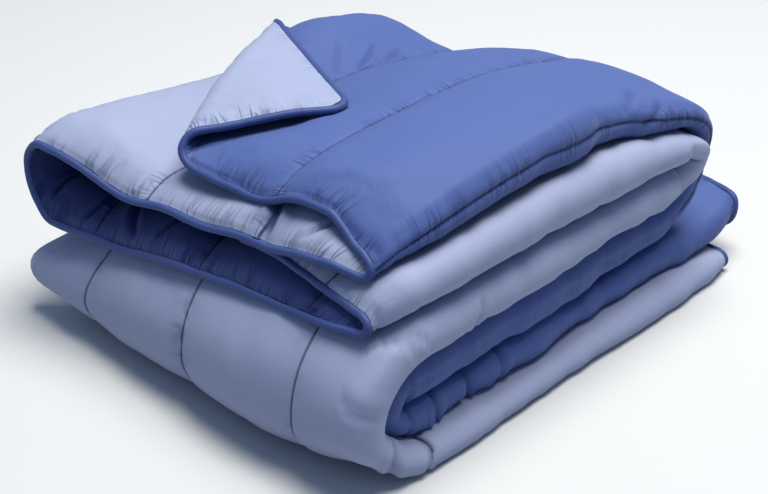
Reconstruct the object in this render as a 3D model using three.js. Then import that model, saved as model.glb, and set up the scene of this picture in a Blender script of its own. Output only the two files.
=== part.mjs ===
import * as THREE from 'three';

// A channel-quilted reversible comforter, folded into a stack.
// The cloth is one filled sheet. It is first folded across its width into a strip of
// three or four layers, and the strip is then folded in three along its length.
// Every point of the sheet is found from two numbers: u, the distance across the sheet,
// and w, the place along the strip (0 to 5, one unit for each leg or turn).

// Driving dimensions, in millimetres
const CHANNEL = 200;
const CHANNELS = 11;
const WIDTH = CHANNEL * CHANNELS;
const CORD_RADIUS = 5.2;
const CORD_SIDES = 6;
const CORD_GAP = 1.2;
const CORNER_RADIUS = 30;
const EDGE_HALF = 3.2;
const SEAM_HALF = 4.5;
const REST_PLANE = 4.5;
const STACK_CENTRE = new THREE.Vector3(-37.3, 51.9, REST_PLANE);

// The strip, seen from its end: where each layer turns, and how far each turn bulges
const FREE_EDGE_X = -337;
const BLUE_TURN_X = 238;
const POCKET_TURN_X = -318.7;
const LIGHT_TURN_X = 258;
const BLUE_TURN_BULGE = 16;
const POCKET_TURN_BULGE = 34;
const LIGHT_TURN_BULGE = 14.5;
const POCKET_TURN_LENGTH = 128;
const LIGHT_TURN_LENGTH = 46.6;
const BLUE_SEAM = 3 * CHANNEL;
const BLUE_TURN_START = BLUE_TURN_X - FREE_EDGE_X;
const BLUE_TURN_END = 2 * BLUE_SEAM - BLUE_TURN_START;
const POCKET_TURN_START = BLUE_TURN_END + BLUE_TURN_X - POCKET_TURN_X;
const POCKET_TURN_END = POCKET_TURN_START + POCKET_TURN_LENGTH;
const LIGHT_TURN_START = POCKET_TURN_END + LIGHT_TURN_X - POCKET_TURN_X;
const LIGHT_TURN_END = LIGHT_TURN_START + LIGHT_TURN_LENGTH;

// The four layers of the strip, from the lowest up: the pocket's lip, the inner layer, the
// under layer and the top. level and slack are heights in layers, at the full right side
// and at the left side, where the inner layer is missing. droop is how far the layer's
// front edge sags, and pocket its share of the pocket's lift.
const LAYERS = [
  { level: 0.5, slack: 0.5, droop: 14, pocket: 0 },
  { level: 1.5, slack: 1.1, droop: 20, pocket: 0.4 },
  { level: 2.5, slack: 1.75, droop: 26, pocket: 1 },
  { level: 3.5, slack: 2.8, droop: 24, pocket: 0.95 },
];
const FULL_LEVEL = 4;
const FULL_SLACK = 3.3;
const SETTLING = { from: -220, to: 120 };
const DROOPING = { from: -150, to: 0 };

// Dips of a layer's front edge: where along it, how wide and how deep
const DIPS = [
  { level: 3.5, x: 35, reach: 45, depth: 14 },
  { level: 2.5, x: -165, reach: 55, depth: 14 },
  { level: 2.5, x: 85, reach: 50, depth: 10 },
  { level: 0.5, x: -160, reach: 70, depth: 10 },
  { level: 0.5, x: 100, reach: 80, depth: 6 },
];

// How a layer's front edge sags towards the heavy right corner
const CORNER_SAGS = [
  { level: 3.5, from: 160, to: 220, depth: 17 },
  { level: 3.5, from: 190, to: 260, depth: 12 },
  { level: 2.5, from: 190, to: 260, depth: 12 },
  { level: 1.5, from: 150, to: 220, depth: 8 },
  { level: 0.5, from: 190, to: 250, depth: -3 },
];

// The top of the stack: the pocket held open at the left, the lip of its mouth, a low
// dome, the fall to the back, and the crest of the free channel behind the turned corner
const POCKET = { lift: 42, fullX: -300, endX: -40, fullY: -300, endY: 160 };
const LIP = { lift: 15, fullX: -320, endX: -200, y: -345, reach: 36 };
const DOME = { rise: 8, reach: 200, from: -50, to: 200 };
const FALL = { drop: 38, fromY: 60, toY: 340, rightMore: 0.5, fromX: 60, toX: 260 };
const CREST = { rise: 34, x: -248, reach: 68, from: 20, full: 140, ebb: 220, end: 340 };

// Sideways moves: the top strip's right corner is drawn in at the front and spreads at the
// back, the pocket's mouth leans out at its top and in at its lip
const CORNER_IN = { move: 26, reach: 50, from: 50, to: 240 };
const BACK_OUT = { move: 22, fromY: 160, toY: 340, fromX: 0, toX: 240, fadeFrom: 1.2, fadeTo: 2 };
const MOUTH_OUT = { move: 9, reach: 80, from: -330, to: -270 };
const LIP_IN = { move: 20, reach: 80, from: -330, to: -200, lowest: 0.5, highest: 2.2 };

// The spine's left end is pressed to a blunt point, and its right end is rolled under
const LEFT_POINT = {
  from: -330, to: -150, level: 2.6, in: 46, out: 60, sharpness: 6, fade: 0.3,
  pinch: 0.4, pinchFromW: 2.8, pinchFullW: 3, pinchEbbW: 4, pinchEndW: 4.3,
};
const ROLLED_UNDER = { from: 175, to: 260, w: 3.72, reach: 0.2, back: 12, up: 10 };
const LIGHT_ROLL_OUT = { move: 16, from: 100, to: 260, fromW: 3.6, toW: 4.3, level: 2 };
const TIP_UP = { move: 22, fromY: 330, toY: 470, fromLevel: 2.4, toLevel: 3.5 };
const TIP_OUT = { move: 12, fromY: 250, toY: 420, fromX: 100, toX: 250, level: 2 };

// Where the sheet's two ends lie, row by row across the sheet: y at the front and back
const ENDS = [
  { at: BLUE_SEAM - 110, front: -270, back: 470 },
  { at: BLUE_SEAM + 110, front: -303, back: 425 },
  { at: POCKET_TURN_START - 240, front: -303, back: 425 },
  { at: POCKET_TURN_START, front: -322, back: 412 },
  { at: POCKET_TURN_END, front: -330, back: 404 },
  { at: POCKET_TURN_END + 180, front: -319, back: 399 },
  { at: LIGHT_TURN_START - 50, front: -319, back: 396 },
  { at: LIGHT_TURN_END + 70, front: -302, back: 398 },
  { at: WIDTH, front: -284, back: 398 },
];
const DROOP = { reach: 45, rightMore: 0.7, from: 140, to: 230 };

// The strip folded in three: layer spacing in each leg, and the two turns
// Halfway is the w that parts the front end's leg from the back end's
const HALFWAY = 2.5;
const SPINE_Y = -256;
const BACK_TURN_Y = 266;
const SPACING = { bottom: 21.2, spine: 28.8, middle: 33.5, back: 17.4, top: 34 };
const BACK_TURN_REACH = 24;
const SPINE_SHOULDER = 1.02;
const STEEPEST = 0.02;
const TOP_FROM = 3.45;

// The corner of the top layer, turned back over itself along a slanting line
const FLAP_START = new THREE.Vector2(-108, -270);
const FLAP_END = new THREE.Vector2(-337, 132);
const FLAP_RADIUS = 20.5;
const FLAP_LIFT = { front: 14.5, back: 20.5 };
const FLAP_RISE = -0.035;
const FLAP_SLIDE = new THREE.Vector2(0.12, -0.07);

const clamp = THREE.MathUtils.clamp;
const lerp = THREE.MathUtils.lerp;
const ease = (from, to, value) => THREE.MathUtils.smoothstep(value, from, to);
const easeDown = (from, to, value) => 1 - ease(from, to, value);
const hump = (centre, reach, value) => Math.exp(-(((value - centre) / reach) ** 2));

// Reads a column of a table at a place between its rows
function between(places, values, place) {
  if (place <= places[0]) return values[0];
  for (let i = 1; i < places.length; i += 1) {
    if (place <= places[i]) {
      const share = (place - places[i - 1]) / (places[i] - places[i - 1]);
      return lerp(values[i - 1], values[i], share);
    }
  }
  return values[values.length - 1];
}

const LEVELS = LAYERS.map((layer) => layer.level);
const column = (name, level) => between(LEVELS, LAYERS.map((layer) => layer[name]), level);
const SLACK_PLACES = [0, ...LEVELS, FULL_LEVEL];
const SLACKS = [0, ...LAYERS.map((layer) => layer.slack), FULL_SLACK];

// Where a point of the sheet's width lies in the strip: x, and its level in layers
function stripSection(u) {
  if (u <= BLUE_TURN_START) return { x: FREE_EDGE_X + u, level: 3.5 };
  if (u <= BLUE_TURN_END) {
    const turn = Math.PI * (u - BLUE_TURN_START) / (BLUE_TURN_END - BLUE_TURN_START);
    return { x: BLUE_TURN_X + BLUE_TURN_BULGE * Math.sin(turn), level: 3 + 0.5 * Math.cos(turn) };
  }
  if (u <= POCKET_TURN_START) return { x: BLUE_TURN_X - (u - BLUE_TURN_END), level: 2.5 };
  if (u <= POCKET_TURN_END) {
    const turn = Math.PI * (u - POCKET_TURN_START) / POCKET_TURN_LENGTH;
    return { x: POCKET_TURN_X - POCKET_TURN_BULGE * Math.sin(turn), level: 1.5 + Math.cos(turn) };
  }
  if (u <= LIGHT_TURN_START) return { x: POCKET_TURN_X + u - POCKET_TURN_END, level: 0.5 };
  if (u <= LIGHT_TURN_END) {
    const turn = Math.PI * (u - LIGHT_TURN_START) / LIGHT_TURN_LENGTH;
    return { x: LIGHT_TURN_X + LIGHT_TURN_BULGE * Math.sin(turn), level: 1 - 0.5 * Math.cos(turn) };
  }
  return { x: LIGHT_TURN_X - (u - LIGHT_TURN_END), level: 1.5 };
}

// Height in layers once the missing inner layer lets the left side sink
function settled(level, x) {
  return lerp(between(SLACK_PLACES, SLACKS, level), level, ease(SETTLING.from, SETTLING.to, x));
}

// Where the front or back end of the sheet lies, eased from row to row
function endPlace(name, u) {
  let end = ENDS[0][name];
  for (let i = 1; i < ENDS.length; i += 1) {
    const change = ENDS[i][name] - ENDS[i - 1][name];
    end += change * ease(ENDS[i - 1].at, ENDS[i].at, u);
  }
  return end;
}

// How much higher a point of the top strip lies than its layers alone would put it
function topLift(level, x, y) {
  const held = easeDown(POCKET.fullX, POCKET.endX, x) * easeDown(POCKET.fullY, POCKET.endY, y);
  const mouth = easeDown(LIP.fullX, LIP.endX, x) * hump(LIP.y, LIP.reach, y);
  const pocket = (POCKET.lift * held + LIP.lift * mouth) * column('pocket', level);
  const dome = DOME.rise * hump(0, DOME.reach, y) * ease(DOME.from, DOME.to, x);
  const steeper = 1 + FALL.rightMore * ease(FALL.fromX, FALL.toX, x);
  const fall = FALL.drop * ease(FALL.fromY, FALL.toY, y) * steeper;
  return pocket + (dome - fall) * level / FULL_LEVEL;
}

// How far the front edge of a layer sags at a place along it
function edgeSag(level, x) {
  let sag = column('droop', level) * ease(DROOPING.from, DROOPING.to, x);
  const share = (row) => clamp(1 - Math.abs(level - row.level), 0, 1);
  for (const dip of DIPS) sag += share(dip) * dip.depth * hump(dip.x, dip.reach, x);
  for (const corner of CORNER_SAGS) sag += share(corner) * corner.depth * ease(corner.from, corner.to, x);
  return sag;
}

function backOut(x, y) {
  return BACK_OUT.move * ease(BACK_OUT.fromY, BACK_OUT.toY, y) * ease(BACK_OUT.fromX, BACK_OUT.toX, x);
}

// The top leg, from the sheet's front end to the back turn
function topLeg(w, section) {
  const { x, level, height, full, front } = section;
  const y = lerp(front, BACK_TURN_Y, Math.max(w, 0));
  const fromFront = y - front;
  const over = Math.max(SPINE_Y - y, 0) / (SPINE_SHOULDER * SPACING.spine * full);
  const shoulder = Math.sqrt(Math.max(1 - over * over, STEEPEST));
  const reach = DROOP.reach * (1 + DROOP.rightMore * ease(DROOP.from, DROOP.to, x));
  const edge = Math.exp(-fromFront / reach);
  let z = SPACING.bottom * full + SPACING.middle * full * shoulder + SPACING.top * height;
  z += topLift(level, x, y) - edgeSag(level, x) * edge;
  const leaning = 1 - ease(LIP_IN.lowest, LIP_IN.highest, level);
  const cornerIn = Math.exp(-fromFront / CORNER_IN.reach) * ease(CORNER_IN.from, CORNER_IN.to, x);
  const mouthOut = Math.exp(-fromFront / MOUTH_OUT.reach) * easeDown(MOUTH_OUT.from, MOUTH_OUT.to, x);
  const lipIn = Math.exp(-fromFront / LIP_IN.reach) * easeDown(LIP_IN.from, LIP_IN.to, x) * leaning;
  let aside = LIP_IN.move * lipIn - CORNER_IN.move * cornerIn - MOUTH_OUT.move * mouthOut;
  aside += backOut(x, y);
  return { y, z, aside };
}

function backTurn(w, section) {
  const { x, level, height, full } = section;
  const turn = Math.PI * (w - 1);
  const y = BACK_TURN_Y + (BACK_TURN_REACH + SPACING.back * height) * Math.sin(turn);
  const above = SPACING.top * height + topLift(level, x, y);
  const middleTop = (SPACING.bottom + SPACING.middle) * full;
  const z = middleTop + (turn < Math.PI / 2 ? above : SPACING.middle * height) * Math.cos(turn);
  return { y, z, aside: backOut(x, y) * easeDown(BACK_OUT.fadeFrom, BACK_OUT.fadeTo, w) };
}

function middleLeg(w, section, leftEnd) {
  const { height, full } = section;
  const z = (SPACING.bottom + SPACING.middle) * full - SPACING.middle * height;
  const aside = leftEnd * LEFT_POINT.in * ease(3 - LEFT_POINT.fade, 3, w);
  return { y: lerp(BACK_TURN_Y, SPINE_Y, w - 2), z, aside };
}

function spineTurn(w, section, leftEnd) {
  const { x, height, full } = section;
  const turn = Math.PI * (w - 3);
  const inward = full - height;
  const leg = turn < Math.PI / 2 ? SPACING.middle : SPACING.bottom;
  const under = ease(ROLLED_UNDER.from, ROLLED_UNDER.to, x) * hump(ROLLED_UNDER.w, ROLLED_UNDER.reach, w);
  const rolled = under * inward / (FULL_LEVEL - LEVELS[0]);
  const bulge = lerp(Math.sin(turn), Math.sin(turn) ** 2, section.leftShare);
  const y = SPINE_Y - SPACING.spine * inward * bulge + ROLLED_UNDER.back * rolled;
  const z = SPACING.bottom * full + leg * inward * Math.cos(turn) + ROLLED_UNDER.up * rolled;
  const point = LEFT_POINT.in - LEFT_POINT.out * Math.sin(turn) ** LEFT_POINT.sharpness;
  return { y, z, aside: leftEnd * point };
}

function bottomLeg(w, section, leftEnd, back) {
  const { x, level, height } = section;
  const y = lerp(SPINE_Y, back, w - 4);
  const upper = ease(TIP_UP.fromLevel, TIP_UP.toLevel, level);
  const z = SPACING.bottom * height + TIP_UP.move * ease(TIP_UP.fromY, TIP_UP.toY, y) * upper;
  let aside = leftEnd * LEFT_POINT.in * easeDown(4, 4 + LEFT_POINT.fade, w);
  if (level > TIP_OUT.level) {
    const spread = ease(TIP_OUT.fromY, TIP_OUT.toY, y) * ease(TIP_OUT.fromX, TIP_OUT.toX, x);
    aside += TIP_OUT.move * spread;
  }
  return { y, z, aside };
}

// The middle surface of the sheet, folded but for the turned-back corner
function foldedPlace(u, w) {
  const { x, level } = stripSection(u);
  const leftShare = easeDown(LEFT_POINT.from, LEFT_POINT.to, x);
  const section = {
    x,
    level,
    leftShare,
    height: settled(level, x),
    full: settled(FULL_LEVEL, x),
    front: endPlace('front', u),
  };
  const leftEnd = level < LEFT_POINT.level ? leftShare : 0;
  let place;
  if (w <= 1) place = topLeg(w, section);
  else if (w <= 2) place = backTurn(w, section);
  else if (w <= 3) place = middleLeg(w, section, leftEnd);
  else if (w <= 4) place = spineTurn(w, section, leftEnd);
  else place = bottomLeg(w, section, leftEnd, endPlace('back', u));
  if (level < LIGHT_ROLL_OUT.level) {
    const squeezed = ease(LIGHT_ROLL_OUT.from, LIGHT_ROLL_OUT.to, x);
    place.aside += LIGHT_ROLL_OUT.move * squeezed * ease(LIGHT_ROLL_OUT.fromW, LIGHT_ROLL_OUT.toW, w);
  }
  if (level > TOP_FROM && w < 2) {
    const standing = ease(CREST.from, CREST.full, place.y) * easeDown(CREST.ebb, CREST.end, place.y);
    place.z += CREST.rise * hump(CREST.x, CREST.reach, x) * standing;
  }
  return { point: new THREE.Vector3(x + place.aside, place.y, place.z), level };
}

const FLAP_LENGTH = FLAP_END.distanceTo(FLAP_START);
const FLAP_LINE = FLAP_END.clone().sub(FLAP_START).normalize();
const FLAP_ACROSS = new THREE.Vector2(-FLAP_LINE.y, FLAP_LINE.x);

// How far a point of the top layer has gone past the start of the turned-back roll
function pastFlapLine(point, level, w) {
  if (level < TOP_FROM || w >= 1) return 0;
  const away = new THREE.Vector2(point.x, point.y).sub(FLAP_START);
  return Math.max(away.dot(FLAP_ACROSS) + FLAP_RADIUS, 0);
}

// The middle surface with its corner rolled over the slanting line
function sheetPlace(u, w) {
  const { point, level } = foldedPlace(u, w);
  const past = pastFlapLine(point, level, w);
  if (past <= 0) return point;
  const angle = Math.min(past / FLAP_RADIUS, Math.PI);
  const beyond = Math.max(past - Math.PI * FLAP_RADIUS, 0);
  const across = FLAP_RADIUS * (Math.sin(angle) - 1) - beyond;
  const along = new THREE.Vector2(point.x, point.y).sub(FLAP_START).dot(FLAP_LINE);
  const place = FLAP_START.clone().addScaledVector(FLAP_LINE, along);
  place.addScaledVector(FLAP_ACROSS, across).addScaledVector(FLAP_SLIDE, beyond);
  const lift = lerp(FLAP_LIFT.front, FLAP_LIFT.back, ease(0, FLAP_LENGTH, along));
  const z = point.z + lift * (1 - Math.cos(angle)) + FLAP_RISE * beyond;
  return new THREE.Vector3(place.x, place.y, z);
}

// Length in millimetres of the first or last leg, for distances from the sheet's ends
function endLeg(u, w) {
  if (w < HALFWAY) return BACK_TURN_Y - endPlace('front', u);
  return endPlace('back', u) - SPINE_Y;
}

function fromEnd(u, w) {
  if (w <= 1) return w * endLeg(u, w);
  if (w >= 4) return (5 - w) * endLeg(u, w);
  return WIDTH;
}

// Draws the sheet's corners in to a round, ring by ring
function roundedPlace(u, w) {
  const side = Math.min(u, WIDTH - u);
  const end = fromEnd(u, w);
  const a = CORNER_RADIUS - side;
  const b = CORNER_RADIUS - end;
  if (a <= 0 || b <= 0) return { u, w };
  const shrink = Math.max(a, b) / Math.hypot(a, b);
  const newSide = CORNER_RADIUS - a * shrink;
  const newEnd = CORNER_RADIUS - b * shrink;
  const share = newEnd / endLeg(u, w);
  return { u: u < WIDTH / 2 ? newSide : WIDTH - newSide, w: w < HALFWAY ? share : 5 - share };
}

// The direction that the blue side faces
function blueNormal(u, w) {
  const stepU = 0.4;
  const stepW = 0.002;
  const across = sheetPlace(Math.min(u + stepU, WIDTH), w).sub(sheetPlace(Math.max(u - stepU, 0), w));
  const along = sheetPlace(u, Math.min(w + stepW, 5)).sub(sheetPlace(u, Math.max(w - stepW, 0)));
  return across.cross(along).normalize();
}

// Half the filling's thickness: full in mid channel, drawn in at seams, ends and folds
const ROOM = [
  { w: 0, spacing: SPACING.top },
  { w: 0.75, spacing: SPACING.top },
  { w: 1.1, spacing: SPACING.back },
  { w: 1.8, spacing: SPACING.back },
  { w: 2.1, spacing: SPACING.middle },
  { w: 2.9, spacing: SPACING.middle },
  { w: 3.3, spacing: SPACING.spine },
  { w: 3.7, spacing: SPACING.spine },
  { w: 4.15, spacing: SPACING.bottom },
  { w: 5, spacing: SPACING.bottom },
];
const ROOM_PLACES = ROOM.map((row) => row.w);
const ROOM_VALUES = ROOM.map((row) => row.spacing);
const CROWDED_SHARE = 0.43;
const FREE_TOP = { half: 19, backLess: 0.3, from: 0.6, to: 1.1, untilW: 1.6 };
const FREE_SPINE = {
  half: 15, leftLess: 0.5, leftReach: 100, rightLess: 0.6, level: 0.6, fromW: 2.9, toW: 4.1,
};
const FREE_SPINE_RIGHT = { fromU: 1750, toU: 1850, fromW: 3.4, toW: 4 };
const FLAP_HALF = 9;
const UNDER_FLAP = { x: -50, y: -120, reachX: 80, reachY: 110, less: 0.38 };
const UNDER_RIM = { level: 2.5, near: 0.1, y: -262, reach: 30, fromX: -130, toX: -60, less: 0.55 };
const UNDER_LIP = { w: 3.2, reach: 0.13, less: 0.4 };
const TIGHT_TURN_HALF = 5;
const TIGHT_SPINE_FROM = 2.6;
const TIGHT_BACK_UNTIL = 1.2;
const TURN_PINCH = 0.55;
const TURN_REACH = 60;
const TURN_INSET = 7;
const TURN_INSET_REACH = 52;
const CROWN_FULLNESS = 0.6;
const EDGE_REACH = 45;
const TURNS = [
  { centre: BLUE_SEAM, blueInside: false },
  { centre: (POCKET_TURN_START + POCKET_TURN_END) / 2, blueInside: true },
  { centre: (LIGHT_TURN_START + LIGHT_TURN_END) / 2, blueInside: true },
];

// Extra room for the cord where it bends sharply round a turn
function turnInset(u) {
  return TURNS.reduce((sum, turn) => sum + TURN_INSET * hump(turn.centre, TURN_INSET_REACH, u), 0);
}

// Filling where nothing presses on it: the top face, and the spine's outer face
function freeHalf(u, w, blueSide, point, level) {
  if (blueSide && level > TOP_FROM && w < FREE_TOP.untilW) {
    const half = FREE_TOP.half * (1 - FREE_TOP.backLess * ease(FREE_TOP.from, FREE_TOP.to, w));
    if (w >= 1) return half;
    const pressedX = hump(UNDER_FLAP.x, UNDER_FLAP.reachX, point.x);
    const pressedY = hump(UNDER_FLAP.y, UNDER_FLAP.reachY, point.y);
    return half * (1 - UNDER_FLAP.less * pressedX * pressedY);
  }
  if (!blueSide && level < FREE_SPINE.level && w > FREE_SPINE.fromW && w < FREE_SPINE.toW) {
    const lower = ease(FREE_SPINE_RIGHT.fromW, FREE_SPINE_RIGHT.toW, w);
    const right = FREE_SPINE.rightLess * lower * ease(FREE_SPINE_RIGHT.fromU, FREE_SPINE_RIGHT.toU, u);
    const left = FREE_SPINE.leftLess * hump(TURNS[1].centre, FREE_SPINE.leftReach, u);
    const underLip = UNDER_LIP.less * hump(UNDER_LIP.w, UNDER_LIP.reach, w);
    return FREE_SPINE.half * (1 - right) * (1 - left) * (1 - underLip);
  }
  return null;
}

function halfThickness(u, w, blueSide) {
  const { point, level } = foldedPlace(u, w);
  const crowded = CROWDED_SHARE * between(ROOM_PLACES, ROOM_VALUES, w);
  let full = freeHalf(u, w, blueSide, point, level) ?? crowded;
  const innerSpine = blueSide && level > TIGHT_SPINE_FROM && w > 3 && w < 4;
  const innerBack = !blueSide && level < TIGHT_BACK_UNTIL && w > 1 && w < 2;
  if (innerSpine || innerBack) full = TIGHT_TURN_HALF;
  if (!blueSide && Math.abs(level - UNDER_RIM.level) < UNDER_RIM.near && w < 1) {
    const along = ease(UNDER_RIM.fromX, UNDER_RIM.toX, point.x);
    full *= 1 - UNDER_RIM.less * along * hump(UNDER_RIM.y, UNDER_RIM.reach, point.y);
  }
  const atPoint = easeDown(LEFT_POINT.from, LEFT_POINT.to, point.x);
  const pinched = ease(LEFT_POINT.pinchFromW, LEFT_POINT.pinchFullW, w);
  const released = ease(LEFT_POINT.pinchEbbW, LEFT_POINT.pinchEndW, w);
  full *= 1 - LEFT_POINT.pinch * atPoint * pinched * (1 - released);
  const past = pastFlapLine(point, level, w);
  full = lerp(full, Math.min(full, FLAP_HALF), ease(0, FLAP_RADIUS, past));
  for (const turn of TURNS) {
    if (turn.blueInside === blueSide) full *= 1 - TURN_PINCH * hump(turn.centre, TURN_REACH, u);
  }
  const crown = Math.abs(Math.sin(Math.PI * u / CHANNEL)) ** CROWN_FULLNESS;
  const fromRim = Math.min(u, WIDTH - u, fromEnd(u, w) - turnInset(u)) - CORD_RADIUS - CORD_GAP;
  const edge = Math.sqrt(clamp(fromRim / EDGE_REACH, 0, 1));
  return lerp(EDGE_HALF, lerp(SEAM_HALF, full, crown), edge);
}

function surfacePoint(u, w, blueSide) {
  const reach = halfThickness(u, w, blueSide) * (blueSide ? 1 : -1);
  const point = sheetPlace(u, w).addScaledVector(blueNormal(u, w), reach);
  point.z = Math.max(point.z, REST_PLANE);
  return point.sub(STACK_CENTRE);
}

// Room that each kind of station keeps from those already placed, in millimetres
const STATION_ROOM = { seam: 1, turn: 9, flap: 12, channel: 16 };
const TURN_STEPS = { blue: 4, pocket: 7, light: 4 };
const CHANNEL_SHARES = [0.5, 0.15, 0.85];
const FLAP_STEP = 22;
const LEG_STEPS = [13, 7, 3, 8, 5];

// Stations across the sheet: seams, mid channels, the turns, and closer at the flap
function acrossStations() {
  const kept = [];
  const add = (place, room) => {
    if (kept.every((other) => Math.abs(other - place) >= room)) kept.push(place);
  };
  for (let i = 0; i <= CHANNELS; i += 1) add(i * CHANNEL, STATION_ROOM.seam);
  const turns = [
    { from: BLUE_TURN_START, to: BLUE_TURN_END, steps: TURN_STEPS.blue },
    { from: POCKET_TURN_START, to: POCKET_TURN_END, steps: TURN_STEPS.pocket },
    { from: LIGHT_TURN_START, to: LIGHT_TURN_END, steps: TURN_STEPS.light },
  ];
  for (const turn of turns) {
    for (let i = 0; i <= turn.steps; i += 1) {
      add(lerp(turn.from, turn.to, i / turn.steps), STATION_ROOM.turn);
    }
  }
  const flapWidth = FLAP_START.x - FREE_EDGE_X + 2 * FLAP_RADIUS;
  for (let place = FLAP_STEP; place < flapWidth; place += FLAP_STEP) add(place, STATION_ROOM.flap);
  for (let i = 0; i < CHANNELS; i += 1) {
    for (const share of CHANNEL_SHARES) add((i + share) * CHANNEL, STATION_ROOM.channel);
  }
  return kept.sort((a, b) => a - b);
}

// Stations along the strip: how many steps each leg and turn takes
function alongStations() {
  const stations = [0];
  LEG_STEPS.forEach((steps, leg) => {
    for (let i = 1; i <= steps; i += 1) stations.push(leg + i / steps);
  });
  return stations;
}

const ACROSS = acrossStations();
const ALONG = alongStations();

// How much longer the room at a slanting end is, measured along the strip
function endSlant(u, w) {
  const step = 3;
  const rise = endLeg(Math.min(u + step, WIDTH), w) - endLeg(Math.max(u - step, 0), w);
  return Math.hypot(1, rise / (2 * step));
}

const SIDE_ROOM = 0.6;
const ROLL_ROOM = { w: 0.74, reach: 0.15, extra: 2.2 };
const FLAP_ROOM = { reach: 50, extra: 1.5 };

// A place of the sheet drawn in from its outline by the cord's own room
// with a little more where the cord bends sharply round a turn or down the flap's roll
function drawnIn(u, w, inset) {
  const rolled = u < CHANNEL && w < 1 ? hump(ROLL_ROOM.w, ROLL_ROOM.reach, w) : 0;
  const sideInset = inset + SIDE_ROOM + ROLL_ROOM.extra * rolled;
  const innerU = clamp(u, sideInset, WIDTH - sideInset);
  const flapStart = w < 1 ? FLAP_ROOM.extra * hump(FLAP_START.x - FREE_EDGE_X, FLAP_ROOM.reach, u) : 0;
  const share = (inset * endSlant(u, w) + turnInset(u) + flapStart) / endLeg(u, w);
  const innerW = clamp(w, share, 5 - share);
  return roundedPlace(innerU, innerW);
}

function closedGeometry(points, faces) {
  const geometry = new THREE.BufferGeometry();
  const numbers = points.flatMap((point) => point.toArray());
  geometry.setAttribute('position', new THREE.Float32BufferAttribute(numbers, 3));
  geometry.setIndex(faces);
  geometry.computeVertexNormals();
  return geometry;
}

// The quilted body: a blue face, a light face and the rim between them
function quiltedBody() {
  const inset = CORD_RADIUS + CORD_GAP;
  const columns = ACROSS.length;
  const rows = ALONG.length;
  const points = [];
  for (const blueSide of [true, false]) {
    for (const w of ALONG) {
      for (const u of ACROSS) {
        const place = drawnIn(u, w, inset);
        points.push(surfacePoint(place.u, place.w, blueSide));
      }
    }
  }
  const blue = (i, j) => j * columns + i;
  const light = (i, j) => columns * rows + blue(i, j);
  const faces = [];
  const quad = (a, b, c, d) => faces.push(a, b, c, a, c, d);
  for (let j = 0; j + 1 < rows; j += 1) {
    for (let i = 0; i + 1 < columns; i += 1) {
      quad(blue(i, j), blue(i + 1, j), blue(i + 1, j + 1), blue(i, j + 1));
      quad(light(i, j), light(i, j + 1), light(i + 1, j + 1), light(i + 1, j));
    }
  }
  for (let i = 0; i + 1 < columns; i += 1) {
    quad(blue(i, 0), light(i, 0), light(i + 1, 0), blue(i + 1, 0));
    quad(blue(i + 1, rows - 1), light(i + 1, rows - 1), light(i, rows - 1), blue(i, rows - 1));
  }
  for (let j = 0; j + 1 < rows; j += 1) {
    quad(blue(0, j + 1), light(0, j + 1), light(0, j), blue(0, j));
    quad(blue(columns - 1, j), light(columns - 1, j), light(columns - 1, j + 1), blue(columns - 1, j + 1));
  }
  return closedGeometry(points, faces);
}

// The corded piping: one closed loop round the sheet's outline
const ROUND_SHARES = [0.42, 0.75, 1];
const CLOSEST_RINGS = 7;

function edgePiping() {
  const outline = [];
  const last = ALONG.length - 1;
  const arc = ROUND_SHARES.map((share) => CORNER_RADIUS * share);
  const pastRound = 1.5 * CORNER_RADIUS;
  const sides = [0, ...arc, ...ACROSS.filter((u) => u > pastRound && u < WIDTH - pastRound)];
  const widths = [...sides, ...arc.map((step) => WIDTH - step).reverse()];
  const starts = (u) => arc.map((step) => step / endLeg(u, 0));
  const finishes = (u) => arc.map((step) => 5 - step / endLeg(u, 5)).reverse();
  const lengths = (u) => [0, ...starts(u), ...ALONG.slice(1, last), ...finishes(u)];
  for (const u of widths) outline.push({ u, w: 0 });
  for (const w of lengths(WIDTH)) outline.push({ u: WIDTH, w });
  for (const u of [...widths].reverse()) outline.push({ u, w: 5 });
  for (const w of lengths(0).reverse()) outline.push({ u: 0, w });
  const path = [];
  for (const place of outline) {
    const round = roundedPlace(place.u, place.w);
    const point = sheetPlace(round.u, round.w).sub(STACK_CENTRE);
    const previous = path[path.length - 1];
    if (previous && previous.point.distanceTo(point) < CLOSEST_RINGS) continue;
    path.push({ point, normal: blueNormal(round.u, round.w) });
  }
  if (path[0].point.distanceTo(path[path.length - 1].point) < CLOSEST_RINGS) path.pop();
  const points = [];
  const faces = [];
  const count = path.length;
  path.forEach((here, i) => {
    const before = path[(i + count - 1) % count].point;
    const after = path[(i + 1) % count].point;
    const tangent = after.clone().sub(before).normalize();
    const outward = tangent.clone().cross(here.normal).normalize();
    const upward = outward.clone().cross(tangent).normalize();
    for (let s = 0; s < CORD_SIDES; s += 1) {
      const turn = 2 * Math.PI * (s + 0.5) / CORD_SIDES;
      points.push(here.point.clone()
        .addScaledVector(outward, CORD_RADIUS * Math.cos(turn))
        .addScaledVector(upward, CORD_RADIUS * Math.sin(turn)));
    }
  });
  for (let i = 0; i < count; i += 1) {
    for (let s = 0; s < CORD_SIDES; s += 1) {
      const a = i * CORD_SIDES + s;
      const b = i * CORD_SIDES + (s + 1) % CORD_SIDES;
      const c = ((i + 1) % count) * CORD_SIDES + (s + 1) % CORD_SIDES;
      const d = ((i + 1) % count) * CORD_SIDES + s;
      faces.push(a, c, b, a, d, c);
    }
  }
  return closedGeometry(points, faces);
}

const quiltCloth = new THREE.MeshStandardMaterial({ color: 0x6a80c6, roughness: 0.62, metalness: 0 });
const pipingCloth = new THREE.MeshStandardMaterial({ color: 0x3f55a6, roughness: 0.55, metalness: 0 });

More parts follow.
